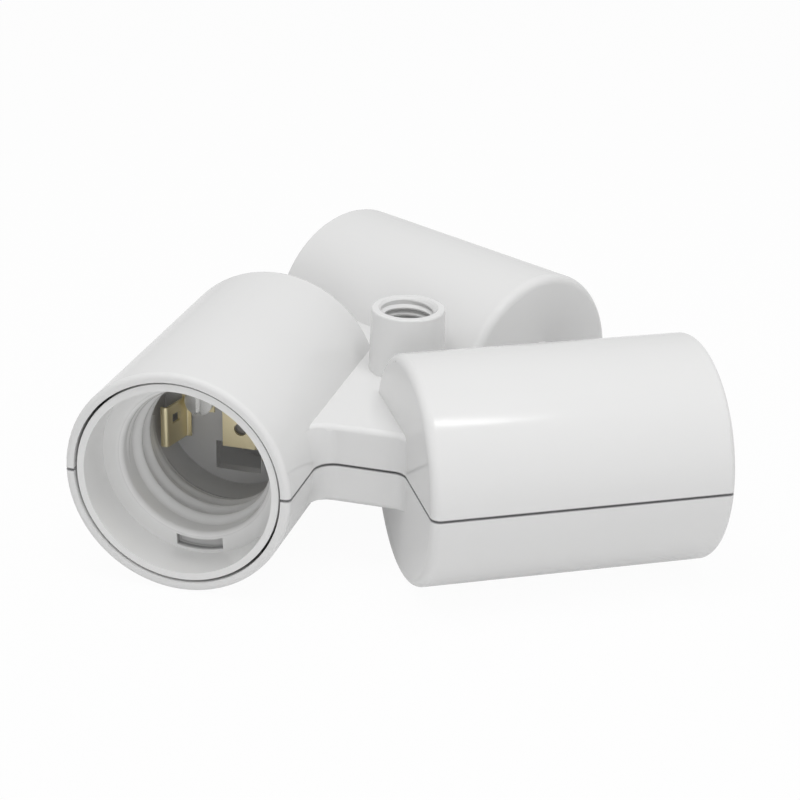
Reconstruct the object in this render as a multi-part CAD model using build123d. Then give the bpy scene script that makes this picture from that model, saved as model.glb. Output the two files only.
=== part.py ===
"""Three-way lamp socket splitter: three horizontal lamp sockets set as a pinwheel round a threaded boss.

Millimetres, +Z up. The origin is the centre of the boss mouth, and +Z points out of it.
Barrel 1 lies along +X, and barrels 2 and 3 are turned from it by a third of a turn each.
"""
from build123d import *
import math
import os

# Pinwheel: where each barrel lies, seen from the boss axis
SOCKETS = 3
SIDE_LINE = 7.4
FRONT_REACH = 44.9
BACK_REACH = 7.8

# Housing
WALL = 1.6
BORE_GAP = 0.45
BACK_EDGE_R = 1.6
MOUTH_EDGE_R = 0.9
WEB_HALF_HEIGHT = 7.25
WEB_FRONT = 28.8
WEB_WALL = 1.8
WEB_SIDE_FILLET = 3.6
WEB_BACK_FILLET = 3.0
WEB_EDGE_R = 1.0

# Parting line: a shadow groove outside and a tongue in a rebate within the wall
SHADOW_HALF_WIDTH = 0.2
LIP_WALL = 0.8
LIP_GAP = 0.1
TONGUE_WALL = 0.6
TONGUE_HEIGHT = 1.2
REBATE_INNER = 1.9

# Stem boss with its M10 x 1 thread, bored here to the thread's major diameter
BOSS_HEIGHT = 18.9
BOSS_TOP_R = 6.65
BOSS_DRAFT = 1.6
BOSS_EDGE_R = 0.35
STEM_R = 5.0
STEM_LENGTH = 11.0
STEM_LEAD_IN = 0.4
WIRE_HOLE_R = 4.2

# E27 lamp socket insert, bored here to the thread's major diameter
THREAD_R = 13.3
THREAD_LENGTH = 12.2
RIM_DEPTH = 0.4
LEDGE_WIDTH = 3.4
COLLAR_WALL = 1.25
COLLAR_DRAFT = 0.1
LEDGE_DEPTH = 8.6
LEDGE_THICKNESS = 1.8
LEAD_IN_R = 1.2
TUBE_WALL = 1.7
FLANGE_THICKNESS = 1.8
FLANGE_GAP = 0.8
RIB_THICKNESS = 2.0
RIB_GAP = 0.2
CUP_DEPTH = 4.5
CUP_WALL = 1.5
SLOT_HALF_WIDTH = 4.25
SLOT_INNER_RIM = 1.0
SLOT_OUTER_RIM = 0.4
SLOT_TURN = 2.9

# Contact block behind the insert
BLOCK_FIT = 0.2
CUP_FLANGE = 1.3
BLOCK_FLANGE = 2.0
SPIGOT_WALL = 0.8
FLOOR_THICKNESS = 2.0
CHAMBER_DEPTH = 6.5
BRIDGE_HEIGHT = 0.9
BRIDGE_BOTTOM = -1.2
GROOVE_WIDTH = 0.4
GROOVE_DEPTH = 0.9
WINDOW_HALF_WIDTH = 4.3
WINDOW_TOP = -5.8
WINDOW_BOTTOM = -11.3

# Brass contacts
STRIP = 0.5
STRIP_BEND_R = 0.6
CONTACT_GAP = 0.2
SIDE_ROOT_INSET = 4.2
SIDE_TIP_INSET = 2.8
SIDE_LIP = 1.0
SIDE_TIP_DEPTH = 23.2
SIDE_BOTTOM = -5.0
SIDE_TOP = 5.8
SIDE_LEAF_TOP = 2.6
SIDE_SLOT = (24.9, 27.2)
SIDE_SLOT_TOP = 0.8
SIDE_SLOT_BOTTOM = -1.0
SIDE_SCREW_INSET = 7.3
SIDE_SCREW_HEIGHT = 2.7
SIDE_FOOT_REACH = 2.4
CENTRE_SCREW_INSET = 5.8
CENTRE_SCREW_HEIGHT = -5.2
FOOT_REACH = 3.2
TONGUE_STEP = 0.8
TONGUE_ROOM = 1.6
TONGUE_BOTTOM = -5.7
TONGUE_TOP = 3.4
TONGUE_RISE = 1.5
TONGUE_HOLE_INSET = 2.9
TONGUE_HOLE_HEIGHT = -2.1
TONGUE_HOLE_R = 1.2

# Through screws and nuts of the contacts
SCREW_R = 1.25
SCREW_HOLE_R = 1.5
SCREW_LENGTH = 6.9
SCREW_HEAD_R = 2.6
SCREW_HEAD = 1.7
SCREW_SLOT = 1.0
SLOT_DEPTH = 1.0
NUT_FLATS = 5.5
NUT_HEIGHT = 2.4
NUT_BORE_R = 1.27

# Bus stars that join the three sockets in parallel, and the carrier between them
BUS_THICKNESS = 0.8
ARM_WIDTH = 5.0
ARM_BEND_INSET = 3.8
ARM_BEND_ROOM = 1.6
ARM_ROOM_LEFT = 1.5
ARM_ROOM_RIGHT = 1.0
BUS_HUB_R = 4.0
LUG_SIZE = 6.0
NUT_GAP = 0.4
CARRIER_THICKNESS = 2.4
CARRIER_R = 6.9
CARRIER_ARM = 4.6
CARRIER_EDGE = 0.2
PEG_R = 0.8
PEG_GAP = 0.1
PEG_POST_R = 1.4

# Supply clamps under the stem hole
CLAMP_ANGLE = 26.0
CLAMP_OFFSET = 2.6
CLAMP_WIDTH = 4.0
CLAMP_LENGTH = 4.4
CLAMP_TOP = 5.0
CLAMP_WIRE_R = 1.2
CLAMP_WIRE_FLOOR = 2.8
CLAMP_GAP = 0.3
DIVIDER_THICKNESS = 0.7
GRUB_R = 1.0
GRUB_BORE_R = 1.02
GRUB_HEIGHT = 3.9
GRUB_LENGTH = 1.8
GRUB_START = 1.1
GRUB_SLOT = 0.4

# Housing screws, driven from below into the webs
POST_R = 3.4
POST_X = 22.6
POST_Y = -1.6
HOUSING_SCREW_R = 1.3
HOUSING_PILOT_R = 1.32
HOUSING_HOLE_R = 1.6
HOUSING_HEAD_R = 2.7
HOUSING_HEAD = 1.9
HOUSING_SCREW_END = 4.4
PILOT_END = 4.8
COUNTERBORE_R = 3.0
COUNTERBORE_DEPTH = 2.6
CROSS_WIDTH = 0.8
CROSS_DEPTH = 1.0
CROSS_SHARE = 0.62

# Worked out from the sizes above
TURN = 360 / SOCKETS
COS_TURN = math.cos(math.radians(TURN))
SIN_TURN = math.sin(math.radians(TURN))
COLLAR_R = THREAD_R + LEDGE_WIDTH
INSERT_R = COLLAR_R + COLLAR_WALL
BORE_R = INSERT_R + BORE_GAP
BARREL_R = BORE_R + WALL
BARREL_OFFSET = SIDE_LINE + BARREL_R
OVERLAP = 3.0
THREAD_START = LEDGE_DEPTH + LEDGE_THICKNESS
THREAD_END = THREAD_START + THREAD_LENGTH
TUBE_R = THREAD_R + TUBE_WALL
FLANGE_R = BORE_R - FLANGE_GAP
SLOT_INNER_R = THREAD_R + SLOT_INNER_RIM
SLOT_OUTER_R = COLLAR_R - SLOT_OUTER_RIM
BLOCK_FLANGE_R = TUBE_R + CUP_FLANGE
FLANGE_START = THREAD_START + RIB_THICKNESS + 2 * RIB_GAP
CUP_START = THREAD_END + CUP_WALL
CUP_END = CUP_START + CUP_DEPTH
CUP_BORE_R = BLOCK_FLANGE_R - CUP_WALL
BLOCK_BODY_R = CUP_BORE_R - BLOCK_FIT
CHAMBER_R = BLOCK_BODY_R - SPIGOT_WALL
SIDE_ROOT_X = SIDE_ROOT_INSET - CHAMBER_R
SIDE_TIP_X = SIDE_TIP_INSET - CHAMBER_R
SIDE_SCREW = (SIDE_SCREW_INSET - CHAMBER_R, SIDE_SCREW_HEIGHT)
CENTRE_SCREW = (CHAMBER_R - CENTRE_SCREW_INSET, CENTRE_SCREW_HEIGHT)
TONGUE_RIGHT = CENTRE_SCREW[0] - FOOT_REACH - TONGUE_STEP
TONGUE_LEFT = SIDE_SCREW[0] + SCREW_HEAD_R + TONGUE_ROOM
TONGUE_HOLE = (TONGUE_RIGHT - TONGUE_HOLE_INSET, TONGUE_HOLE_HEIGHT)
FLOOR_DEPTH = CUP_START + CHAMBER_DEPTH
FLOOR_BACK = FLOOR_DEPTH + FLOOR_THICKNESS
BRIDGE_DEPTH = FLOOR_DEPTH - BRIDGE_HEIGHT
REAR_RIB_START = CUP_END + BLOCK_FLANGE + RIB_GAP
BUS_PLANE = (CARRIER_THICKNESS + BUS_THICKNESS) / 2
BUS_OUTSIDE = BUS_PLANE + BUS_THICKNESS / 2
ARM_RIGHT = FRONT_REACH - FLOOR_BACK
ARM_LEFT = ARM_RIGHT - ARM_WIDTH
ARM_BEND = (ARM_RIGHT - ARM_BEND_INSET, ARM_BEND_ROOM - SIDE_LINE)
HOLLOW_HALF_HEIGHT = WEB_HALF_HEIGHT - WEB_WALL
ARM_WINDOW_X = (ARM_LEFT - ARM_ROOM_LEFT, ARM_RIGHT + ARM_ROOM_RIGHT)
BIG = 4 * FRONT_REACH
FUSE = 0.1


def turned(index, shape):
    """The shape turned from barrel 1 to the barrel of this index."""
    return Rot(0, 0, TURN * index) * shape


def pinwheel(shape):
    """One copy of the shape at each barrel."""
    return [turned(index, shape) for index in range(SOCKETS)]


def next_barrel_point(along, across):
    """The plan point that lies at these distances along and across the next barrel."""
    return (COS_TURN * along - SIN_TURN * across, SIN_TURN * along + COS_TURN * across)


def seated(shape):
    """A shape drawn in a socket's own frame, put in barrel 1.

    In that frame the origin is the centre of the mouth, +Z points out of it,
    +X points across to the hub and +Y points up.
    """
    mouth = Plane(origin=(FRONT_REACH, -BARREL_OFFSET, 0), x_dir=(0, 1, 0), z_dir=(1, 0, 0))
    return mouth.location * shape


def lathe(points):
    """A ring or disc from a closed profile of radius and depth behind the mouth."""
    outline = Polyline([(radius, 0, -depth) for radius, depth in points], close=True)
    return revolve(make_face(outline), Axis.Z)


def drum(radius, start, end, place=(0, 0)):
    """A cylinder along the socket's axis between two depths behind the mouth."""
    return Pos(place[0], place[1], -(start + end) / 2) * Cylinder(radius, end - start)


def slab(x_range, y_range, z_range):
    """A box between three pairs of limits."""
    size = [high - low for low, high in (x_range, y_range, z_range)]
    centre = [(high + low) / 2 for low, high in (x_range, y_range, z_range)]
    return Pos(*centre) * Box(*size)


def rod(radius, low, high, place=(0, 0)):
    """A vertical cylinder between two heights."""
    return Pos(place[0], place[1], (low + high) / 2) * Cylinder(radius, high - low)


def is_near(value, target):
    return abs(value - target) < 0.01


# Housing

def plain_barrel(radius, back, front):
    """A cylinder along barrel 1's axis."""
    return Pos((front + back) / 2, -BARREL_OFFSET, 0) * Rot(0, 90, 0) * Cylinder(radius, front - back)


def barrel_form():
    """The outside of barrel 1, with its rounded closed end and its softer mouth edge."""
    barrel = plain_barrel(BARREL_R, -BACK_REACH, FRONT_REACH)
    rims = barrel.edges().filter_by(GeomType.CIRCLE).sort_by(Axis.X)
    barrel = fillet(rims[0], BACK_EDGE_R)
    rims = barrel.edges().filter_by(GeomType.CIRCLE).sort_by(Axis.X)
    return fillet(rims[-1], MOUTH_EDGE_R)


def web_plan(inset):
    """The plan of the three webs and the hub, pulled in from the web fronts by inset."""
    side = -SIDE_LINE - OVERLAP
    front = WEB_FRONT - inset
    ahead = -BACK_REACH + OVERLAP
    far_corner = (front, (ahead - COS_TURN * front) / SIN_TURN)
    near_corner = next_barrel_point(ahead, side)
    web = make_face(Polyline((0, side), (front, side), far_corner, near_corner, (0, 0), close=True))
    plan = Rot(0, 0, 30) * RegularPolygon(SIDE_LINE + OVERLAP, SOCKETS, major_radius=False)
    for piece in pinwheel(web):
        plan = plan + piece
    return plan


def web_corner_edges(body):
    """The edges where each web front meets the barrel beside it and the closed end ahead of it."""
    closed_end_y = (-BACK_REACH - COS_TURN * WEB_FRONT) / SIN_TURN
    side_edges = []
    back_edges = []
    for index in range(SOCKETS):
        for edge in body.edges():
            middle = edge.center().rotate(Axis.Z, -TURN * index)
            if not is_near(middle.X, WEB_FRONT):
                continue
            if edge.geom_type == GeomType.CIRCLE and is_near(edge.radius, BARREL_R):
                side_edges.append(edge)
            if edge.geom_type == GeomType.LINE and is_near(middle.Y, closed_end_y):
                back_edges.append(edge)
    return side_edges, back_edges


def front_edges(body, side):
    """The upper or lower edge of web front 1, with the edges of its two corner roundings."""
    edges = []
    for edge in body.edges():
        middle = edge.center()
        beside_front = WEB_FRONT - WALL < middle.X < WEB_FRONT + 2 * WEB_SIDE_FILLET
        if not is_near(middle.Z, side * WEB_HALF_HEIGHT) or not beside_front or abs(middle.Y) > BARREL_R:
            continue
        if edge.geom_type != GeomType.LINE or is_near(middle.X, WEB_FRONT):
            edges.append(edge)
    return edges


def edge_shaving(body, side):
    """What comes off web front 1 to round its upper or lower edge."""
    path = Wire(front_edges(body, side))
    start, ahead = path @ 0, path % 0
    inward = ahead.cross(Vector(0, 0, 1))
    if not body.is_inside(start + inward * FUSE - Vector(0, 0, side * FUSE)):
        inward = inward * -1
    turn = -side if ahead.cross(inward).Z > 0 else side
    middle = (WEB_EDGE_R - FUSE) / 2
    corner = Pos(middle, turn * middle) * Rectangle(WEB_EDGE_R + FUSE, WEB_EDGE_R + FUSE)
    corner = corner - Pos(WEB_EDGE_R, turn * WEB_EDGE_R) * Circle(WEB_EDGE_R)
    profile = Plane(origin=start, x_dir=inward, z_dir=ahead) * corner
    shaving = sweep(profile, path=path, transition=Transition.ROUND)
    for barrel in pinwheel(plain_barrel(BARREL_R, -BACK_REACH, FRONT_REACH)):
        shaving = shaving - barrel
    return shaving


def boss_form():
    """The tapered outside of the stem boss."""
    foot_r = BOSS_TOP_R + BOSS_HEIGHT * math.tan(math.radians(BOSS_DRAFT))
    boss = Pos(0, 0, BOSS_HEIGHT / 2) * Cone(foot_r, BOSS_TOP_R, BOSS_HEIGHT)
    return fillet(boss.edges().filter_by(GeomType.CIRCLE).sort_by(Axis.Z)[-1], BOSS_EDGE_R)


def outer_form():
    """The outside of both shells as one body."""
    body = extrude(web_plan(0), WEB_HALF_HEIGHT, both=True)
    for barrel in pinwheel(barrel_form()):
        body = body + barrel
    side_edges, back_edges = web_corner_edges(body)
    body = fillet(side_edges, WEB_SIDE_FILLET)
    side_edges, back_edges = web_corner_edges(body)
    body = fillet(back_edges, WEB_BACK_FILLET)
    for shaving in [edge_shaving(body, side) for side in (-1, 1)]:
        for cut in pinwheel(shaving):
            body = body - cut
    return body + boss_form()


def parting_band(outline, start, end, low, high):
    """A strip along the outline, between two distances in from it and between two heights."""
    outer = offset(outline, -start) if start else outline
    strip = outer - offset(outline, -end)
    return Pos(0, 0, low) * extrude(strip, high - low)


def window_block(low_y, high_y):
    """The room that barrel 1's wall leaves for the bus arms, between two lines across it."""
    return slab(ARM_WINDOW_X, (low_y, high_y), (-HOLLOW_HALF_HEIGHT, HOLLOW_HALF_HEIGHT))


def locating_ribs():
    """Rings inside barrel 1 that hold the insert's flange and the contact block, open at the window."""
    front_start = THREAD_START + RIB_GAP
    root_r = BORE_R + WALL / 2
    rings = []
    for inner_r, start in ((TUBE_R + RIB_GAP, front_start), (BLOCK_BODY_R + RIB_GAP, REAR_RIB_START)):
        end = start + RIB_THICKNESS
        rings.append(seated(lathe([(inner_r, start), (root_r, start), (root_r, end), (inner_r, end)])))
    window = window_block(-BARREL_OFFSET, -SIDE_LINE)
    return [ring - window for ring in rings]


def web_hollow():
    """The hollow of the webs and the hub, with the barrels' own walls left standing."""
    hollow = extrude(web_plan(WEB_WALL), HOLLOW_HALF_HEIGHT, both=True)
    for barrel in pinwheel(plain_barrel(BARREL_R, -BACK_REACH, FRONT_REACH)):
        hollow = hollow - barrel
    return hollow


def shell_body(body):
    """The outer form hollowed for both shells, before they are parted."""
    for bore in pinwheel(plain_barrel(BORE_R, -BACK_REACH + WALL, FRONT_REACH + OVERLAP)):
        body = body - bore
    body = body - web_hollow()
    for window in pinwheel(window_block(-SIDE_LINE - OVERLAP, -SIDE_LINE + WALL)):
        body = body - window
    for rib in locating_ribs():
        for copy in pinwheel(rib):
            body = body + copy
    post_end = WEB_HALF_HEIGHT - WEB_WALL / 2
    for post in pinwheel(rod(POST_R, -post_end, post_end, (POST_X, POST_Y))):
        body = body + post
    thread_end = BOSS_HEIGHT - STEM_LEAD_IN - STEM_LENGTH
    body = body - rod(STEM_R, thread_end, BOSS_HEIGHT + 1) - rod(WIRE_HOLE_R, 0, thread_end + 1)
    lead_in = Cone(STEM_R, STEM_R + STEM_LEAD_IN, STEM_LEAD_IN)
    return body - Pos(0, 0, BOSS_HEIGHT - STEM_LEAD_IN / 2) * lead_in


def upper_shell(body, outline):
    """The upper half, with the stem boss and blind holes for the housing screws."""
    above = slab((-BIG, BIG), (-BIG, BIG), (0, BIG))
    above = above - parting_band(outline, 0, LIP_WALL, -1, SHADOW_HALF_WIDTH)
    above = above - parting_band(outline, LIP_WALL, REBATE_INNER, -1, TONGUE_HEIGHT + LIP_GAP)
    half = body & above
    for pilot in pinwheel(rod(HOUSING_PILOT_R, -1, PILOT_END, (POST_X, POST_Y))):
        half = half - pilot
    return half


def lower_shell(body, outline):
    """The lower half, with screw holes from below and three posts for the bus carrier."""
    tongue_start = LIP_WALL + LIP_GAP
    below = slab((-BIG, BIG), (-BIG, BIG), (-BIG, 0))
    below = below - parting_band(outline, 0, LIP_WALL, -SHADOW_HALF_WIDTH, 1)
    below = below + parting_band(outline, tongue_start, tongue_start + TONGUE_WALL, -1, TONGUE_HEIGHT)
    half = body & below
    start = -WEB_HALF_HEIGHT - 1
    hole = rod(HOUSING_HOLE_R, start, 1, (POST_X, POST_Y))
    counterbore = rod(COUNTERBORE_R, start, -WEB_HALF_HEIGHT + COUNTERBORE_DEPTH, (POST_X, POST_Y))
    for cut in pinwheel(hole + counterbore):
        half = half - cut
    post = rod(PEG_POST_R, -WEB_HALF_HEIGHT + WEB_WALL / 2, -BUS_OUTSIDE, ARM_BEND)
    peg = rod(PEG_R, -BUS_OUTSIDE - 1, BUS_OUTSIDE, ARM_BEND)
    for support in pinwheel(post + peg):
        half = half + support
    return half


def housing_screw():
    """A pan-head screw with a cross recess, driven upwards into a web."""
    head_top = -WEB_HALF_HEIGHT + COUNTERBORE_DEPTH
    head_bottom = head_top - HOUSING_HEAD
    shank = rod(HOUSING_SCREW_R, head_top - FUSE, HOUSING_SCREW_END)
    screw = rod(HOUSING_HEAD_R, head_bottom, head_top) + shank
    arm = HOUSING_HEAD_R * CROSS_SHARE
    half = CROSS_WIDTH / 2
    recess = (head_bottom - 1, head_bottom + CROSS_DEPTH)
    screw = screw - slab((-arm, arm), (-half, half), recess) - slab((-half, half), (-arm, arm), recess)
    return Pos(POST_X, POST_Y, 0) * screw


# Lamp sockets, each drawn in its own frame

def ledge_slot():
    """The curved slot through the lower side of the ledge."""
    start, end = LEDGE_DEPTH - 1, THREAD_START + 1
    ring = drum(SLOT_OUTER_R, start, end) - drum(SLOT_INNER_R, start - 1, end + 1)
    slot = ring & slab((-SLOT_HALF_WIDTH, SLOT_HALF_WIDTH), (-SLOT_OUTER_R, 0), (-end, 0))
    return Rot(0, 0, SLOT_TURN) * slot


def socket_insert():
    """The moulded insert: rim, collar, ledge, threaded tube, flange and rear cup."""
    flange_end = FLANGE_START + FLANGE_THICKNESS
    body = lathe([
        (COLLAR_R, RIM_DEPTH),
        (INSERT_R, RIM_DEPTH),
        (INSERT_R, THREAD_START),
        (TUBE_R, THREAD_START),
        (TUBE_R, FLANGE_START),
        (FLANGE_R, FLANGE_START),
        (FLANGE_R, flange_end),
        (TUBE_R, flange_end),
        (TUBE_R, THREAD_END),
        (BLOCK_FLANGE_R, THREAD_END),
        (BLOCK_FLANGE_R, CUP_END),
        (CUP_BORE_R, CUP_END),
        (CUP_BORE_R, CUP_START),
        (CHAMBER_R, CUP_START),
        (CHAMBER_R, THREAD_END),
        (THREAD_R, THREAD_END),
        (THREAD_R, LEDGE_DEPTH),
        (COLLAR_R + COLLAR_DRAFT, LEDGE_DEPTH),
    ])
    ledge_edge = [
        edge for edge in body.edges().filter_by(GeomType.CIRCLE)
        if is_near(edge.radius, THREAD_R) and is_near(edge.center().Z, -LEDGE_DEPTH)
    ]
    return fillet(ledge_edge, LEAD_IN_R) - ledge_slot()


def contact_block():
    """The block that closes the insert: spigot, flange, floor with a window, and raised bridge."""
    body = lathe([
        (0, FLOOR_DEPTH),
        (CHAMBER_R, FLOOR_DEPTH),
        (CHAMBER_R, CUP_START + BLOCK_FIT),
        (BLOCK_BODY_R, CUP_START + BLOCK_FIT),
        (BLOCK_BODY_R, CUP_END),
        (BLOCK_FLANGE_R, CUP_END),
        (BLOCK_FLANGE_R, CUP_END + BLOCK_FLANGE),
        (BLOCK_BODY_R, CUP_END + BLOCK_FLANGE),
        (BLOCK_BODY_R, FLOOR_BACK),
        (0, FLOOR_BACK),
    ])
    bridge = drum(CHAMBER_R + SPIGOT_WALL / 2, BRIDGE_DEPTH, FLOOR_DEPTH)
    bridge = bridge & slab((-BIG, BIG), (BRIDGE_BOTTOM, BIG), (-BIG, BIG))
    window = slab(
        (-WINDOW_HALF_WIDTH, WINDOW_HALF_WIDTH),
        (WINDOW_BOTTOM, WINDOW_TOP),
        (-FLOOR_BACK - 1, -FLOOR_DEPTH + 1),
    )
    groove = slab(
        (SIDE_SCREW[0], CENTRE_SCREW[0]),
        (BRIDGE_BOTTOM - GROOVE_WIDTH, BRIDGE_BOTTOM),
        (-FLOOR_DEPTH - GROOVE_DEPTH, -FLOOR_DEPTH + 1),
    )
    body = body + bridge - window - groove
    for place in (SIDE_SCREW, CENTRE_SCREW):
        body = body - drum(SCREW_HOLE_R, BRIDGE_DEPTH - 1, FLOOR_BACK + 1, place)
    return body


def bent_strip(path, low, high):
    """Sheet brass bent along a path of distance across and depth, between two heights."""
    points = [(across, -depth) for across, depth in path]
    profile = trace(FilletPolyline(*points, radius=STRIP_BEND_R), STRIP)
    raised = Plane.XZ.offset(-low) * profile
    return extrude(raised, amount=high - low, dir=(0, 1, 0))


def side_contact():
    """The leaf that presses on the side of the lamp cap, with its foot on the bridge."""
    foot_line = BRIDGE_DEPTH - STRIP / 2
    foot_right = SIDE_SCREW[0] + SIDE_FOOT_REACH
    path = [
        (foot_right, foot_line),
        (SIDE_ROOT_X, foot_line),
        (SIDE_TIP_X, SIDE_TIP_DEPTH),
        (SIDE_TIP_X - SIDE_LIP, SIDE_TIP_DEPTH + SIDE_LIP / 2),
    ]
    leaf = bent_strip(path, SIDE_BOTTOM, SIDE_TOP)
    leaf = leaf & drum(CHAMBER_R - CONTACT_GAP, SIDE_TIP_DEPTH - 2, FLOOR_DEPTH)
    below_foot = slab(
        (SIDE_ROOT_X + 1, foot_right + 1),
        (SIDE_BOTTOM - 1, SIDE_SCREW[1] - SIDE_FOOT_REACH),
        (-FLOOR_DEPTH, -BRIDGE_DEPTH + 2),
    )
    above_leaf = slab((-BIG, BIG), (SIDE_LEAF_TOP, BIG), (-BRIDGE_DEPTH + 2 * STRIP, BIG))
    slot_start, slot_end = SIDE_SLOT
    slot = slab((-BIG, SIDE_ROOT_X + STRIP), (SIDE_SLOT_BOTTOM, SIDE_SLOT_TOP), (-slot_end, -slot_start))
    hole = drum(SCREW_HOLE_R, BRIDGE_DEPTH - 2, BRIDGE_DEPTH + 1, SIDE_SCREW)
    return leaf - below_foot - above_leaf - slot - hole


def centre_contact():
    """The raised tongue under the lamp cap's tip, with its foot on the floor."""
    foot_line = FLOOR_DEPTH - STRIP / 2
    tongue_line = foot_line - TONGUE_RISE
    foot_left = CENTRE_SCREW[0] - FOOT_REACH
    path = [
        (CENTRE_SCREW[0] + FOOT_REACH, foot_line),
        (foot_left, foot_line),
        (TONGUE_RIGHT, tongue_line),
        (TONGUE_LEFT, tongue_line),
    ]
    spring = bent_strip(path, CENTRE_SCREW[1] - FOOT_REACH, CENTRE_SCREW[1] + FOOT_REACH)
    left_of_foot = slab((-BIG, foot_left), (-BIG, TONGUE_BOTTOM), (-BIG, BIG))
    spring = spring - left_of_foot
    plate = slab(
        (TONGUE_LEFT, TONGUE_RIGHT - STRIP_BEND_R),
        (CENTRE_SCREW[1], TONGUE_TOP),
        (-tongue_line - STRIP / 2, -tongue_line + STRIP / 2),
    )
    contact = (spring + plate) & drum(CHAMBER_R - CONTACT_GAP, BRIDGE_DEPTH - 4, FLOOR_DEPTH)
    foot_hole = drum(SCREW_HOLE_R, FLOOR_DEPTH - 2, FLOOR_DEPTH + 1, CENTRE_SCREW)
    tongue_hole = drum(TONGUE_HOLE_R, tongue_line - 1, tongue_line + 1, TONGUE_HOLE)
    return contact - foot_hole - tongue_hole


def contact_screw(place, foot_depth):
    """A slotted pan-head screw through a contact's foot, the floor, a bus lug and a nut."""
    seat = foot_depth - STRIP
    head = drum(SCREW_HEAD_R, seat - SCREW_HEAD, seat, place)
    front = -seat + SCREW_HEAD
    slot = slab((-SCREW_SLOT / 2, SCREW_SLOT / 2), (-BIG, BIG), (front - SLOT_DEPTH, front + 1))
    shank = drum(SCREW_R, seat - FUSE, seat + SCREW_LENGTH, place)
    return head - Pos(place[0], place[1], 0) * slot + shank


def contact_nut(place):
    """The hexagon nut behind a bus lug."""
    start = FLOOR_BACK + BUS_THICKNESS
    hexagon = RegularPolygon(NUT_FLATS / 2, 6, major_radius=False)
    nut = extrude(Rot(0, 0, 30) * hexagon, NUT_HEIGHT)
    nut = Pos(place[0], place[1], -start - NUT_HEIGHT) * nut
    return nut - drum(NUT_BORE_R, start - 1, start + NUT_HEIGHT + 1, place)


# Bus stars, carrier and supply clamps in the hub

def barrel_plan(margin):
    """The plan of barrel 1, grown by a margin."""
    middle = Pos((FRONT_REACH - BACK_REACH) / 2, -BARREL_OFFSET)
    size = (FRONT_REACH + BACK_REACH + 2 * margin, 2 * BARREL_R + 2 * margin)
    return middle * RectangleRounded(*size, BACK_EDGE_R + margin)


def arm_plan(half_width, end_y):
    """The plan of one bus arm: from the hub out to barrel 1's window, then across the barrel."""
    bend_x, bend_y = ARM_BEND
    length = math.hypot(bend_x, bend_y)
    run = Pos(bend_x / 2, bend_y / 2) * Rot(0, 0, math.degrees(math.atan2(bend_y, bend_x)))
    diagonal = run * Rectangle(length, 2 * half_width)
    beside_window = Pos(ARM_WINDOW_X[0] - BIG / 2, -SIDE_LINE - BIG / 2) * Rectangle(BIG, BIG)
    diagonal = diagonal - beside_window
    middle_x = (ARM_LEFT + ARM_RIGHT) / 2
    across = Pos(middle_x, (bend_y + 1 + end_y) / 2) * Rectangle(ARM_WIDTH, bend_y + 1 - end_y)
    return diagonal + across - turned(1, barrel_plan(PEG_GAP))


def bus_star(screw_place, side):
    """A stamped brass star with one folded lug for each socket, above or below the carrier."""
    across, height = screw_place
    screw_y = -BARREL_OFFSET + across
    arm_end = screw_y + LUG_SIZE / 2 + NUT_GAP
    star = extrude(arm_plan(ARM_WIDTH / 2, arm_end), BUS_THICKNESS / 2, both=True)
    star = Pos(0, 0, side * BUS_PLANE) * star
    sheet = (ARM_RIGHT - BUS_THICKNESS, ARM_RIGHT)
    fold = side * (BUS_PLANE - BUS_THICKNESS / 2)
    half = LUG_SIZE / 2
    neck = slab(sheet, (screw_y, arm_end + half), (min(fold, height), max(fold, height)))
    lug = slab(sheet, (screw_y - half, screw_y + half), (height - half, height + half))
    star = star + neck + lug - seated(drum(SCREW_HOLE_R, FLOOR_BACK - 1, FLOOR_BACK + 2, screw_place))
    star = star - rod(PEG_R + PEG_GAP, -BIG, BIG, ARM_BEND)
    hub = rod(BUS_HUB_R, side * BUS_PLANE - BUS_THICKNESS / 2, side * BUS_PLANE + BUS_THICKNESS / 2)
    whole = hub
    for arm in pinwheel(star):
        whole = whole + arm
    return whole


def clamp_frame(side):
    """The place of a supply clamp: on the pegs' side of the hub, or opposite it."""
    return Rot(0, 0, CLAMP_ANGLE) * Pos(side * CLAMP_OFFSET, 0, 0)


def clamp_box(margin, low, high):
    """The clamp's block between two heights, grown by a margin all round."""
    half_width = CLAMP_WIDTH / 2 + margin
    half_length = CLAMP_LENGTH / 2 + margin
    return slab((-half_width, half_width), (-half_length, half_length), (low, high))


def supply_clamp(side, seat):
    """A brass clamp with a wire hole from above and a grub screw hole from one end."""
    clamp = clamp_box(0, seat, CLAMP_TOP)
    clamp = clamp - rod(CLAMP_WIRE_R, CLAMP_WIRE_FLOOR, CLAMP_TOP + 1)
    bore = Pos(0, CLAMP_LENGTH / 2, GRUB_HEIGHT) * Rot(90, 0, 0) * Cylinder(GRUB_BORE_R, CLAMP_LENGTH)
    return clamp_frame(side) * (clamp - bore)


def grub_screw(side):
    """The slotted grub screw of a supply clamp."""
    middle = GRUB_START + GRUB_LENGTH / 2
    screw = Pos(0, middle, GRUB_HEIGHT) * Rot(90, 0, 0) * Cylinder(GRUB_R, GRUB_LENGTH)
    end = GRUB_START + GRUB_LENGTH
    slot = slab((-GRUB_R, GRUB_R), (end - GRUB_SLOT, end + 1), (-GRUB_SLOT / 2, GRUB_SLOT / 2))
    return clamp_frame(side) * (screw - Pos(0, 0, GRUB_HEIGHT) * slot)


def divider(margin):
    """The wall between the supply clamps, grown by a margin."""
    half_thickness = DIVIDER_THICKNESS / 2 + margin
    half_length = CLAMP_LENGTH / 2 + margin
    wall = slab((-half_thickness, half_thickness), (-half_length, half_length), (0, CLAMP_TOP + margin))
    return Rot(0, 0, CLAMP_ANGLE) * wall


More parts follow.
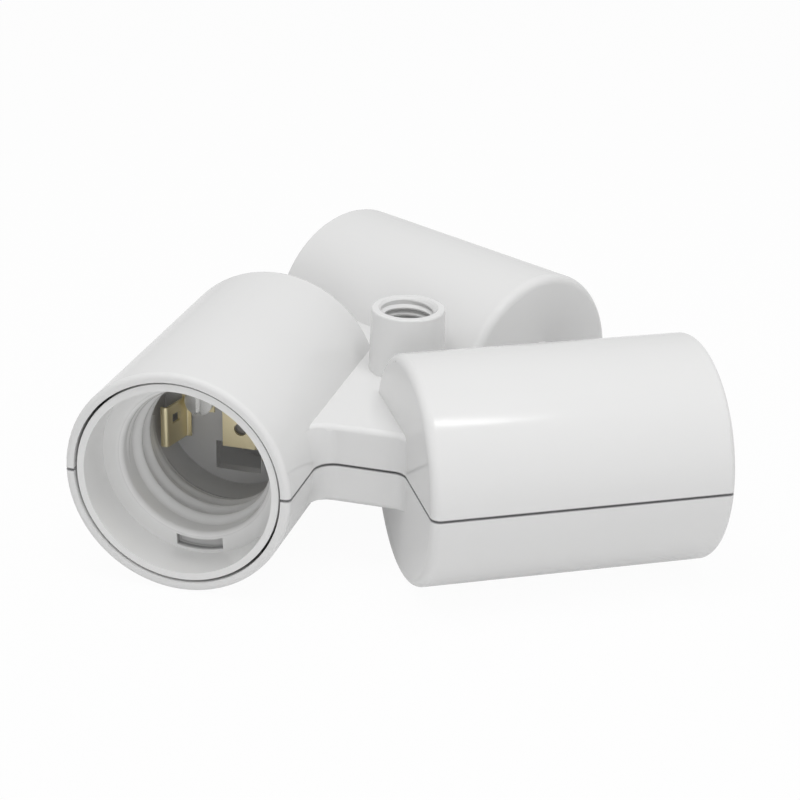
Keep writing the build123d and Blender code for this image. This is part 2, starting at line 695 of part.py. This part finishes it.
def bus_carrier():
    """The insulating plate between the stars, with a divider between the supply clamps."""
    half = CARRIER_THICKNESS / 2
    plate = rod(CARRIER_R, -half, half)
    for arm in pinwheel(extrude(arm_plan(ARM_WIDTH / 2 + CARRIER_EDGE, -SIDE_LINE - CARRIER_ARM), half, both=True)):
        plate = plate + arm
    plate = plate - clamp_frame(1) * clamp_box(CLAMP_GAP, -BIG, BIG)
    plate = plate + divider(0)
    for hole in pinwheel(rod(PEG_R + PEG_GAP, -BIG, BIG, ARM_BEND)):
        plate = plate - hole
    return plate


def neutral_bus():
    """The upper star, which serves the side contacts and lets the live clamp through."""
    star = bus_star(SIDE_SCREW, 1)
    star = star - clamp_frame(1) * clamp_box(CLAMP_GAP, -BIG, BIG)
    return star - divider(PEG_GAP)


def sub_parts():
    """Every node of the splitter, with the boss axis on Z and the parting plane at zero."""
    outside = outer_form()
    outline = section(outside, section_by=Plane.XY)
    body = shell_body(outside)
    nodes = {
        "upper_shell": upper_shell(body, outline),
        "lower_shell": lower_shell(body, outline),
        "housing_screws": pinwheel(housing_screw()),
    }
    fittings = {
        "socket_insert": socket_insert(),
        "contact_block": contact_block(),
        "side_contact": side_contact(),
        "centre_contact": centre_contact(),
    }
    for name, fitting in fittings.items():
        for index in range(SOCKETS):
            nodes[f"{name}_{index + 1}"] = turned(index, seated(fitting))
    screws = [contact_screw(SIDE_SCREW, BRIDGE_DEPTH), contact_screw(CENTRE_SCREW, FLOOR_DEPTH)]
    nuts = [contact_nut(SIDE_SCREW), contact_nut(CENTRE_SCREW)]
    nodes["contact_screws"] = [copy for screw in screws for copy in pinwheel(seated(screw))]
    nodes["contact_nuts"] = [copy for nut in nuts for copy in pinwheel(seated(nut))]
    nodes["neutral_bus"] = neutral_bus()
    nodes["live_bus"] = bus_star(CENTRE_SCREW, -1)
    nodes["bus_carrier"] = bus_carrier()
    nodes["live_supply_clamp"] = supply_clamp(1, -CARRIER_THICKNESS / 2)
    nodes["neutral_supply_clamp"] = supply_clamp(-1, BUS_OUTSIDE)
    nodes["supply_clamp_screws"] = [grub_screw(1), grub_screw(-1)]
    return nodes


def main():
    os.makedirs("parts", exist_ok=True)
    for name, shape in sub_parts().items():
        solids = shape if isinstance(shape, list) else [shape]
        placed = [Pos(0, 0, -BOSS_HEIGHT) * solid for solid in solids]
        node = placed[0] if len(placed) == 1 else Compound(children=placed)
        export_step(node, f"parts/{name}.step")


main()
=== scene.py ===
# %% [markdown]
# # A lamp socket splitter in white plastic
#
# The real object joins one pendant stem to lamp sockets that lie round it like the arms of
# a pinwheel. The CAD model already holds every piece at its real size: two housing shells,
# the socket inserts, the brass contacts and what joins them inside. This lesson gives those
# pieces their finish, adds the two threads that are too fine for the CAD model, and lights
# the whole as a shop photograph does.

# %% Load the frame
import bpy
import bmesh
import math
from mathutils import Matrix, Vector


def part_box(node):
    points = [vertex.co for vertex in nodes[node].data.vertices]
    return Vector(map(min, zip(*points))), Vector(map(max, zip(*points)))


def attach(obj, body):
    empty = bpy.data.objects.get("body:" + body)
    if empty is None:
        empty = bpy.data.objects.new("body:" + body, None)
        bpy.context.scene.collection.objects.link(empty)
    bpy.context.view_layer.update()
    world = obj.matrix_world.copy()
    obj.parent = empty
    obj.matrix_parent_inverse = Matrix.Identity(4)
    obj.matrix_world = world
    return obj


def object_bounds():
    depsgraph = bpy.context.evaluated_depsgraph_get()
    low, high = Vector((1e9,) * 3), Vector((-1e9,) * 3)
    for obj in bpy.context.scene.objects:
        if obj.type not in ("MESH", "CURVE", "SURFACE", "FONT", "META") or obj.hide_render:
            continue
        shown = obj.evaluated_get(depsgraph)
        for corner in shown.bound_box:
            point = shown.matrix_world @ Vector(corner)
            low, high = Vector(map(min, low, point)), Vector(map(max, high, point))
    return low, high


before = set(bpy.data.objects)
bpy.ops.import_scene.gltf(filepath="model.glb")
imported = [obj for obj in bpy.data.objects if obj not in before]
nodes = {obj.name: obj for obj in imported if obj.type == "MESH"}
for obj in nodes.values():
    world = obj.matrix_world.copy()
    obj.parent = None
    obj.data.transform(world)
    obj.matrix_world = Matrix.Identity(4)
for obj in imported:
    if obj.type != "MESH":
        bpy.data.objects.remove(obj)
cad_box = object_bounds()
MM = 0.001
print("CAD nodes:", len(nodes))

# %% [markdown]
# ## Places in the frame
#
# The origin is the mouth of the stem hole and +Z is up. Each socket lies along its own
# axis, level with the middle of the barrels. A new piece for a socket is drawn once, with
# the mouth's centre at the origin and the depth along -Z, and a matrix then puts it in each
# barrel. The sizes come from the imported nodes, so nothing has to be fitted afterwards.

# %% Socket places
SOCKETS = 3
insert_low, insert_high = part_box("socket_insert_1")
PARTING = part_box("upper_shell")[0][2]
INSERT_SET_BACK = 0.4 * MM
MOUTH_X = insert_high[0] + INSERT_SET_BACK
AXIS_Y = (insert_low[1] + insert_high[1]) / 2


def socket_matrix(index):
    """The place of a piece drawn in a socket's own frame: +Z out of the mouth, +Y up."""
    turn = Matrix.Rotation(math.radians(360 / SOCKETS * index), 4, "Z")
    place = Matrix.Translation((MOUTH_X, AXIS_Y, PARTING))
    across, up, out = Vector((0, 1, 0)), Vector((0, 0, 1)), Vector((1, 0, 0))
    axes = Matrix((across, up, out)).transposed().to_4x4()
    return turn @ place @ axes


print("mouth centre of socket 1:", [round(v / MM, 2) for v in socket_matrix(0).translation])

# %% [markdown]
# ## Shader maths as plain expressions
#
# A material is a graph of nodes, and long graphs are hard to read as code. This small class
# wraps an output socket, so that `1 - mask * 0.5` adds the Math nodes by itself.

# %% Expressions on node sockets
class Value:
    """An output socket that the usual operators work on."""

    def __init__(self, sheet, socket):
        self.sheet = sheet
        self.socket = socket

    def math(self, operation, other, swap=False):
        inputs = {0: other, 1: self} if swap else {0: self, 1: other}
        return self.sheet.node("ShaderNodeMath", {"operation": operation}, inputs)

    def __add__(self, other):
        return self.math("ADD", other)

    def __radd__(self, other):
        return self.math("ADD", other, swap=True)

    def __sub__(self, other):
        return self.math("SUBTRACT", other)

    def __rsub__(self, other):
        return self.math("SUBTRACT", other, swap=True)

    def __mul__(self, other):
        return self.math("MULTIPLY", other)

    def __rmul__(self, other):
        return self.math("MULTIPLY", other, swap=True)

    def __abs__(self):
        return self.math("ABSOLUTE", 0.0)

    def clamped(self):
        return self.math("MAXIMUM", 0.0).math("MINIMUM", 1.0)


print("operators ready")

# %% [markdown]
# ## Sheets of nodes
#
# The world has a node tree as a material has, so the method that adds a node belongs to a
# plain sheet. It takes the node's type, its settings and its inputs. A material's sheet also
# has the Principled shader, the Object coordinates that every pattern here reads, and the few
# nodes that most finishes need.

# %% Node sheets
class Sheet:
    """A node tree that expressions add nodes to."""

    def __init__(self, tree):
        self.tree = tree

    def node(self, kind, settings, inputs, output=0):
        made = self.tree.nodes.new(kind)
        for key, value in settings.items():
            setattr(made, key, value)
        for key, value in inputs.items():
            self.link(value, made.inputs[key])
        return Value(self, made.outputs[output])

    def link(self, value, socket):
        """Puts a value or another node's output on an input. A colour is opaque."""
        if isinstance(value, Value):
            self.tree.links.new(value.socket, socket)
        elif socket.type == "RGBA":
            socket.default_value = (*value, 1)
        else:
            socket.default_value = value


class Finish(Sheet):
    """A new material's node tree, with its Principled shader."""

    def __init__(self, name, **settings):
        self.material = bpy.data.materials.new(name)
        self.material.use_nodes = True
        super().__init__(self.material.node_tree)
        self.shader = self.tree.nodes["Principled BSDF"]
        for socket, value in settings.items():
            self.feed(socket.replace("_", " "), value)

    def feed(self, socket, value):
        self.link(value, self.shader.inputs[socket])

    def place(self):
        """Object coordinates, in metres."""
        return self.node("ShaderNodeTexCoord", {}, {}, "Object")

    def noise(self, scale, detail, place=None):
        where = place if place is not None else self.place()
        inputs = {"Vector": where, "Scale": scale, "Detail": detail}
        return self.node("ShaderNodeTexNoise", {}, inputs, "Fac")

    def mix(self, factor, first, second):
        """A blend of two colours, which are the node's inputs 6 and 7."""
        inputs = {"Factor": factor, 6: first, 7: second}
        return self.node("ShaderNodeMix", {"data_type": "RGBA"}, inputs, 2)

    def bump(self, height, strength, distance):
        inputs = {"Height": height, "Strength": strength, "Distance": distance}
        self.feed("Normal", self.node("ShaderNodeBump", {}, inputs, "Normal"))


print("sheets ready")

# %% [markdown]
# ## Painted shade in the groove between the shells
#
# The two shells meet in a shadow groove all round. It is too narrow for much shade of its
# own at this scale, so shade is painted into the housing's colour there as well. The groove
# lies at one height, so the distance from that height makes the mask.

# %% Painted joint shade
JOINT_HALF = 0.38 * MM
JOINT_STEEPNESS = 2.5


def painted_joint_shade(sheet):
    """Mask of the painted shade: 1 in the groove between the shells, 0 away from it."""
    height = sheet.node("ShaderNodeSeparateXYZ", {}, {"Vector": sheet.place()}, "Z")
    away = abs(height - PARTING)
    return ((1 - away * (1 / JOINT_HALF)) * JOINT_STEEPNESS).clamped()


print("joint shade half width:", round(JOINT_HALF / MM, 2), "mm")

# %% [markdown]
# ## Painted shade in the slots of the socket ledges
#
# Each insert has a ledge behind its collar, with a short slot in it that looks deep and
# grey. That shade is painted: the insert's colour is painted dark deep in the slot. Nothing
# else of the insert lies both behind the ledge's face and outside the thread, so depth and
# radius in the socket's own frame pick the slot out. A Mapping node with the inverse of the
# socket's matrix gives that frame.

# %% Painted slot shade
LEDGE_DEPTH = 8.6 * MM
SLOT_FLOOR = LEDGE_DEPTH + 1.3 * MM
SLOT_FADE = 0.7 * MM
THREAD_CLEAR_R = 13.9 * MM


def painted_slot_shade(sheet):
    """Mask of the painted shade: 1 deep in the slots of the socket ledges, 0 elsewhere on the
    inserts.
    """
    shade = 0.0
    for index in range(SOCKETS):
        inverse = socket_matrix(index).inverted()
        inputs = {"Location": inverse.translation, "Rotation": inverse.to_euler()}
        local = sheet.node("ShaderNodeMapping", {}, {"Vector": sheet.place(), **inputs})
        depth = -1 * sheet.node("ShaderNodeSeparateXYZ", {}, {"Vector": local}, "Z")
        inputs = {0: local, 1: (1, 1, 0)}
        flat = sheet.node("ShaderNodeVectorMath", {"operation": "MULTIPLY"}, inputs)
        reach = sheet.node("ShaderNodeVectorMath", {"operation": "LENGTH"}, {0: flat}, "Value")
        sunk = ((depth - LEDGE_DEPTH) * (1 / SLOT_FADE)).clamped()
        in_slot = reach.math("GREATER_THAN", THREAD_CLEAR_R) * depth.math("LESS_THAN", SLOT_FLOOR)
        shade = sunk * in_slot + shade
    return shade


print("slot shade, mm deep:", round(LEDGE_DEPTH / MM, 2), "to", round(SLOT_FLOOR / MM, 2))

# %% [markdown]
# ## White moulded plastic
#
# The housing and the inserts are injection-moulded in a white, glossy plastic. It is never
# one flat colour: the melt leaves very faint clouds, the polish is a little uneven, and the
# skin has a shallow ripple that bends the reflections. Three noises at different scales give
# just that. All read Object coordinates, so that the pattern is tied to the piece. The two
# painted shades above go over the clouds, each on the pieces that it belongs to.

# %% Plastic finishes
CLOUD_SCALE = 28
POLISH_SCALE = 95
POLISH_RANGE = 0.08
RIPPLE_SCALE = 160
RIPPLE_DEPTH = 0.12 * MM


def moulded_plastic(name, pale, shaded, roughness, ripple, shade=None, shade_colour=None):
    """A glossy moulding with faint clouds, uneven polish, a shallow ripple and any painted shade.
    """
    sheet = Finish(name, IOR=1.5)
    clouds = sheet.noise(CLOUD_SCALE, 3.0)
    colour = sheet.mix(clouds, shaded, pale)
    # Painted shade: where the mask is 1 the colour is painted the darker shade colour.
    if shade:
        colour = sheet.mix(shade(sheet), colour, shade_colour)
    sheet.feed("Base Color", colour)
    polish = sheet.noise(POLISH_SCALE, 4.0)
    sheet.feed("Roughness", roughness + (polish - 0.5) * POLISH_RANGE)
    skin = sheet.noise(RIPPLE_SCALE, 1.5)
    sheet.bump(skin, ripple, RIPPLE_DEPTH)
    return sheet.material


# The housing's colour carries the painted shade of the joint groove.
housing_plastic = moulded_plastic(
    "housing_white", (0.80, 0.80, 0.797), (0.775, 0.775, 0.772), 0.15, 0.06,
    painted_joint_shade, (0.46, 0.46, 0.465),
)
# The insert's colour carries the painted shade deep in the ledge slots.
insert_plastic = moulded_plastic(
    "insert_white", (0.84, 0.84, 0.835), (0.81, 0.81, 0.805), 0.24, 0.10,
    painted_slot_shade, (0.36, 0.36, 0.36),
)
# The contact block is the same white plastic; its darker grey is painted shade deep in the
# barrel.
block_plastic = moulded_plastic(
    "block_white", (0.60, 0.60, 0.60), (0.56, 0.56, 0.56), 0.42, 0.15,
)
carrier_plastic = moulded_plastic(
    "carrier_white", (0.74, 0.74, 0.71), (0.70, 0.70, 0.67), 0.45, 0.15,
)
plastics = (housing_plastic, insert_plastic, block_plastic, carrier_plastic)
print("plastics:", [plastic.name for plastic in plastics])

# %% [markdown]
# ## Brass and plated steel
#
# The contacts are stamped from thin brass sheet. Rolling leaves fine lines along the strip,
# and handling leaves it darker in soft patches. The screws are nickel plated, so they are
# almost colourless and brighter. A stretched noise makes the rolling lines.

# %% Metal finishes
TARNISH_SCALE = 140
LINES_SCALE = 700
LINES_RANGE = 0.16
LINES_BUMP = 0.08
LINES_DEPTH = 0.04 * MM


def rolled_metal(name, bright, dull, roughness, stretch):
    """Sheet metal with fine rolling lines and soft tarnish."""
    sheet = Finish(name, Metallic=1.0)
    tarnish = sheet.noise(TARNISH_SCALE, 3.0)
    sheet.feed("Base Color", sheet.mix(tarnish, dull, bright))
    inputs = {"Vector": sheet.place(), "Scale": (1, 1, stretch)}
    lines = sheet.noise(LINES_SCALE, 2.0, sheet.node("ShaderNodeMapping", {}, inputs))
    sheet.feed("Roughness", roughness + (lines - 0.5) * LINES_RANGE)
    sheet.bump(lines, LINES_BUMP, LINES_DEPTH)
    return sheet.material


contact_brass = rolled_metal("contact_brass", (0.98, 0.88, 0.60), (0.90, 0.80, 0.53), 0.42, 8)
screw_nickel = rolled_metal("screw_nickel", (0.80, 0.80, 0.79), (0.68, 0.68, 0.67), 0.22, 1)
housing_zinc = rolled_metal("housing_zinc", (0.66, 0.67, 0.68), (0.56, 0.57, 0.58), 0.36, 1)
print("metals:", contact_brass.name, screw_nickel.name, housing_zinc.name)

# %% [markdown]
# ## Dressing the CAD nodes
#
# The CAD shapes are already right, so their meshes stay as they are and only their material
# slots change. The start of a node's name says which finish it takes.

# %% Assign the finishes
FINISHES = {
    "upper_shell": housing_plastic,
    "lower_shell": housing_plastic,
    "socket_insert": insert_plastic,
    "contact_block": block_plastic,
    "bus_carrier": carrier_plastic,
    "side_contact": contact_brass,
    "centre_contact": contact_brass,
    "live": contact_brass,
    "neutral": contact_brass,
    "contact_screws": screw_nickel,
    "contact_nuts": screw_nickel,
    "supply_clamp_screws": screw_nickel,
    "housing_screws": housing_zinc,
}
for name, node in nodes.items():
    finish = next(FINISHES[start] for start in FINISHES if name.startswith(start))
    node.data.materials.clear()
    node.data.materials.append(finish)
print("dressed:", ", ".join(sorted(nodes)))

# %% [markdown]
# ## Finished pieces
#
# A new piece is drawn in its own bmesh, moved to its place there, and only then made an
# object, which therefore stays at the origin. This helper also ties it to the frame and gives
# it its finish.

# %% Piece helper
def finished_piece(name, shape, place, material, smooth_angle=40):
    """Makes a bmesh into an object at the origin, with its place in its mesh."""
    bmesh.ops.transform(shape, matrix=place, verts=shape.verts)
    bmesh.ops.recalc_face_normals(shape, faces=shape.faces)
    mesh = bpy.data.meshes.new(name)
    shape.to_mesh(mesh)
    shape.free()
    mesh.shade_smooth()
    mesh.set_sharp_from_angle(angle=math.radians(smooth_angle))
    mesh.materials.append(material)
    piece = bpy.data.objects.new(name, mesh)
    bpy.context.scene.collection.objects.link(piece)
    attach(piece, "root")
    return piece


print("piece helper ready")

# %% [markdown]
# ## A helical ridge
#
# A thread inside a bore is a ridge that climbs round the wall. Its section is drawn once, as
# a closed outline in a plane through the axis, and `spin` sweeps it round the axis while a
# small step along the axis lowers each copy. At both ends a real thread runs out into the
# wall, so over the first and the last half turn the ridge is drawn back into it. At the mouth
# of a hole the cone of its chamfer cuts the ridge back as well. Spin adds its points section
# by section, so a point's place in the order says how far round it lies.

# %% Thread helper
FIRST_GROWTH = 0.2
GROWTH_PER_TURN = 1.6
LEAST_DEPTH = 0.05 * MM


def helical_ridge(section, buried_r, pitch, first, last, steps, phase, mouth_r=0.0):
    """A closed ridge, its section swept along a helix from depth first to depth last."""
    shape = bmesh.new()
    corners = [shape.verts.new((radius, 0, height - first)) for radius, height in section]
    edges = [shape.edges.new((a, b)) for a, b in zip(corners, corners[1:] + corners[:1])]
    count = round((last - first) / pitch * steps)
    bmesh.ops.spin(
        shape, geom=corners + edges, cent=(0, 0, 0), axis=(0, 0, 1),
        dvec=(0, 0, -pitch / steps), angle=-math.tau * count / steps, steps=count,
    )
    bmesh.ops.holes_fill(shape, edges=shape.edges)
    for order, vert in enumerate(shape.verts):
        step = order // len(section)
        turns_from_end = min(step, count - step) / steps
        growth = min(1.0, FIRST_GROWTH + GROWTH_PER_TURN * turns_from_end)
        depth = max(-vert.co.z, LEAST_DEPTH)
        reach = max(buried_r + (vert.co.xy.length - buried_r) * growth, mouth_r - depth)
        vert.co = (*(vert.co.xy.normalized() * reach), -depth)
    bmesh.ops.rotate(shape, verts=shape.verts, matrix=Matrix.Rotation(phase, 3, "Z"))
    return shape


print("thread helper ready")

# %% [markdown]
# ## The lamp thread
#
# The wide thread of a lamp socket has no corners: its section is a row of round waves, which
# a rolled sheet-metal lamp cap can slide over. One wave of a cosine gives the section. It
# spans a whole pitch, so that neighbouring turns meet in a round valley.

# %% Lamp thread pieces
LAMP_PITCH = 3.629 * MM
LAMP_ROOT_R = 13.3 * MM
LAMP_CREST_R = 12.2 * MM
LAMP_BURIED_R = 13.7 * MM
LAMP_FIRST = 11.2 * MM
LAMP_LAST = 22.4 * MM
LAMP_PHASE = math.radians(209)
LAMP_STEPS = 56
WAVE_POINTS = 12


def lamp_section():
    """One round wave, closed inside the wall."""
    wave = []
    for k in range(WAVE_POINTS + 1):
        share = k / WAVE_POINTS
        lift = 0.5 - 0.5 * math.cos(math.tau * share)
        radius = LAMP_ROOT_R - (LAMP_ROOT_R - LAMP_CREST_R) * lift
        wave.append((radius, (share - 0.5) * LAMP_PITCH))
    return wave + [(LAMP_BURIED_R, wave[-1][1]), (LAMP_BURIED_R, wave[0][1])]


for index in range(SOCKETS):
    ridge = helical_ridge(
        lamp_section(), LAMP_BURIED_R, LAMP_PITCH,
        LAMP_FIRST, LAMP_LAST, LAMP_STEPS, LAMP_PHASE,
    )
    name = f"lamp_thread_{index + 1}"
    thread = finished_piece(name, ridge, socket_matrix(index), insert_plastic)
print("lamp thread faces:", len(thread.data.polygons))

# %% [markdown]
# ## The stem thread
#
# The boss takes a fine machine thread with straight flanks. Its section is a small wedge
# with a flat crest. The sweep starts inside the chamfer at the mouth of the hole, which cuts
# the first turn back to its own cone.

# %% Stem thread piece
STEM_PITCH = 1.25 * MM
STEM_ROOT_R = 5.0 * MM
STEM_CREST_R = 4.33 * MM
STEM_BURIED_R = 5.6 * MM
STEM_MOUTH_R = 5.44 * MM
STEM_FIRST = 0.4 * MM
STEM_LAST = 10.4 * MM
STEM_PHASE = math.radians(144)
STEM_STEPS = 48
CREST_HALF = STEM_PITCH / 10
ROOT_HALF = STEM_PITCH * 0.47
stem_section = [
    (STEM_ROOT_R, -ROOT_HALF),
    (STEM_CREST_R, -CREST_HALF),
    (STEM_CREST_R, CREST_HALF),
    (STEM_ROOT_R, ROOT_HALF),
    (STEM_BURIED_R, ROOT_HALF),
    (STEM_BURIED_R, -ROOT_HALF),
]
ridge = helical_ridge(
    stem_section, STEM_BURIED_R, STEM_PITCH,
    STEM_FIRST, STEM_LAST, STEM_STEPS, STEM_PHASE, STEM_MOUTH_R,
)
stem_thread = finished_piece(
    "stem_thread", ridge, Matrix.Identity(4), housing_plastic, smooth_angle=25,
)
print("stem thread faces:", len(stem_thread.data.polygons))

# %% [markdown]
# ## The camera
#
# The photograph was taken from above one side, with a long lens. Its height, distance and
# lens come from the barrels' outlines, and the small shift keeps the object where the
# photograph has it. The camera looks at the boss axis, level with the parting line.

# %% Camera
IMAGE_SIZE = 800
FOCAL_PX = 1980.0
CENTRE_PX = (405.8, 403.5)
ELEVATION = math.radians(23.76)
AZIMUTH = math.radians(-15.16)
ROLL = math.radians(1.58)
DISTANCE = 363.3 * MM

heading = Matrix.Rotation(AZIMUTH, 3, "Z")
right = heading @ Vector((1, 0, 0))
back = heading @ Vector((0, -math.cos(ELEVATION), math.sin(ELEVATION)))
up = back.cross(right)
rolled_right = math.cos(ROLL) * right + math.sin(ROLL) * up
rolled_up = math.cos(ROLL) * up - math.sin(ROLL) * right
camera_data = bpy.data.cameras.new("camera")
camera_data.sensor_width = 36
camera_data.lens = FOCAL_PX / IMAGE_SIZE * camera_data.sensor_width
camera_data.shift_x = -(CENTRE_PX[0] - IMAGE_SIZE / 2) / IMAGE_SIZE
camera_data.shift_y = (CENTRE_PX[1] - IMAGE_SIZE / 2) / IMAGE_SIZE
camera_data.clip_start = 0.01
camera = bpy.data.objects.new("camera", camera_data)
turn = Matrix((rolled_right, rolled_up, back)).transposed().to_4x4()
camera.matrix_world = Matrix.Translation(Vector((0, 0, PARTING)) + back * DISTANCE) @ turn
bpy.context.scene.collection.objects.link(camera)
bpy.context.scene.camera = camera
print("lens:", round(camera_data.lens, 2), "mm")

# %% [markdown]
# ## Floor and backdrop
#
# The photograph's ground is pure white. More lamp light would burn out the object as well,
# so the floor and the world only look white: where Light Path says that a ray comes straight
# from the camera or through glass, they are white emitters. A mirrored ray sees half of that
# white, which is enough for brass and glossy plastic. The floor keeps a little of its own
# shading, and with it the object's shadow.

# %% White for some rays
WHITE = (1, 1, 1)
MIRRORED_SHARE = 0.5


def white_rays(sheet):
    """1 for a ray from the camera or through glass, a share for a mirrored ray, else 0."""
    straight = sheet.node("ShaderNodeLightPath", {}, {}, "Is Camera Ray")
    through_glass = sheet.node("ShaderNodeLightPath", {}, {}, "Is Transmission Ray")
    mirrored = sheet.node("ShaderNodeLightPath", {}, {}, "Is Glossy Ray")
    return straight.math("MAXIMUM", through_glass).math("MAXIMUM", mirrored * MIRRORED_SHARE)


print("mirrored rays see", MIRRORED_SHARE, "of the white")

# %% Floor
FLOOR_HALF = 4.0
FLOOR_GAP = 0.1 * MM
FLOOR_GREY = (0.78, 0.78, 0.78)
FLOOR_WHITE_SHARE = 0.96

sheet = Finish("floor_white", Base_Color=FLOOR_GREY, Roughness=0.9, Specular_IOR_Level=0.0)
shaded = Value(sheet, sheet.shader.outputs[0])
glow = sheet.node("ShaderNodeEmission", {}, {"Color": WHITE, "Strength": 1.0})
seen_white = white_rays(sheet) * FLOOR_WHITE_SHARE
blend = sheet.node("ShaderNodeMixShader", {}, {0: seen_white, 1: shaded, 2: glow})
sheet.link(blend, sheet.tree.nodes["Material Output"].inputs["Surface"])

shape = bmesh.new()
bmesh.ops.create_grid(shape, x_segments=1, y_segments=1, size=FLOOR_HALF)
floor_height = cad_box[0][2] - FLOOR_GAP
bmesh.ops.translate(shape, verts=shape.verts, vec=(0, 0, floor_height))
mesh = bpy.data.meshes.new("floor")
shape.to_mesh(mesh)
shape.free()
mesh.materials.append(sheet.material)
floor = bpy.data.objects.new("floor", mesh)
bpy.context.scene.collection.objects.link(floor)
print("floor at", round(floor_height / MM, 2), "mm")

# %% World
AMBIENT_STRENGTH = 0.47

world = bpy.data.worlds.new("studio")
bpy.context.scene.world = world
world.use_nodes = True
sky = Sheet(world.node_tree)
sky.tree.nodes.remove(sky.tree.nodes["Background"])
ambient = sky.node("ShaderNodeBackground", {}, {"Color": WHITE, "Strength": AMBIENT_STRENGTH})
white = sky.node("ShaderNodeBackground", {}, {"Color": WHITE, "Strength": 1.0})
blend = sky.node("ShaderNodeMixShader", {}, {0: white_rays(sky), 1: ambient, 2: white})
sky.link(blend, sky.tree.nodes["World Output"].inputs["Surface"])
print("ambient strength:", AMBIENT_STRENGTH)

# %% [markdown]
# ## Lamps
#
# Soft boxes give white plastic its shape: a large one above for the tops and two weak ones
# at the front. These three don't show in reflections, where the white world already gives
# the gloss. A small bright box high at the front is there for one reflection alone: the
# spot on the rounded edge of the nearest barrel. White plastic also lets some daylight
# through its wall, so that no hollow in the photograph is black. A faint lamp inside each
# barrel, behind the contact block, stands for that.

# %% Soft boxes
def soft_box(name, place, target, size, power):
    """An area lamp at a place in millimetres that faces a target."""
    data = bpy.data.lights.new(name, "AREA")
    data.shape = "RECTANGLE"
    data.size, data.size_y = size[0] * MM, size[1] * MM
    data.energy = power
    lamp = bpy.data.objects.new(name, data)
    lamp.location = Vector(place) * MM
    aim = (Vector(target) - Vector(place)).to_track_quat("-Z", "Y")
    lamp.rotation_euler = aim.to_euler()
    bpy.context.scene.collection.objects.link(lamp)
    return lamp


key_box = soft_box("key_box", (-40, -100, 500), (0, 0, -20), (420, 300), 1.45)
left_box = soft_box("left_box", (-150, -440, 60), (0, 0, -20), (200, 150), 0.18)
right_box = soft_box("right_box", (180, -450, 40), (0, 0, -20), (300, 200), 0.20)
for lamp in (key_box, left_box, right_box):
    lamp.visible_glossy = False
spark_box = soft_box("spark_box", (105, -185, 372), (-4, -41, -4), (22, 70), 0.05)
print("soft boxes:", key_box.name, left_box.name, right_box.name, spark_box.name)

# %% Light through the walls
THROUGH_POWER = 0.0004
THROUGH_RADIUS = 4 * MM
THROUGH_PLACE = Vector((0, -2 * MM, -42 * MM))

for index in range(SOCKETS):
    data = bpy.data.lights.new(f"through_light_{index + 1}", "POINT")
    data.energy = THROUGH_POWER
    data.shadow_soft_size = THROUGH_RADIUS
    lamp = bpy.data.objects.new(data.name, data)
    lamp.location = socket_matrix(index) @ THROUGH_PLACE
    bpy.context.scene.collection.objects.link(lamp)

# %% [markdown]
# ## Colour management and the CAD box
#
# The Standard view transform shows a colour as it is written. The box of the CAD model is
# printed at the end.

# %% Finish
bpy.context.scene.view_settings.view_transform = "Standard"
print("CAD box mm:", [[round(c / MM, 2) for c in v] for v in cad_box])
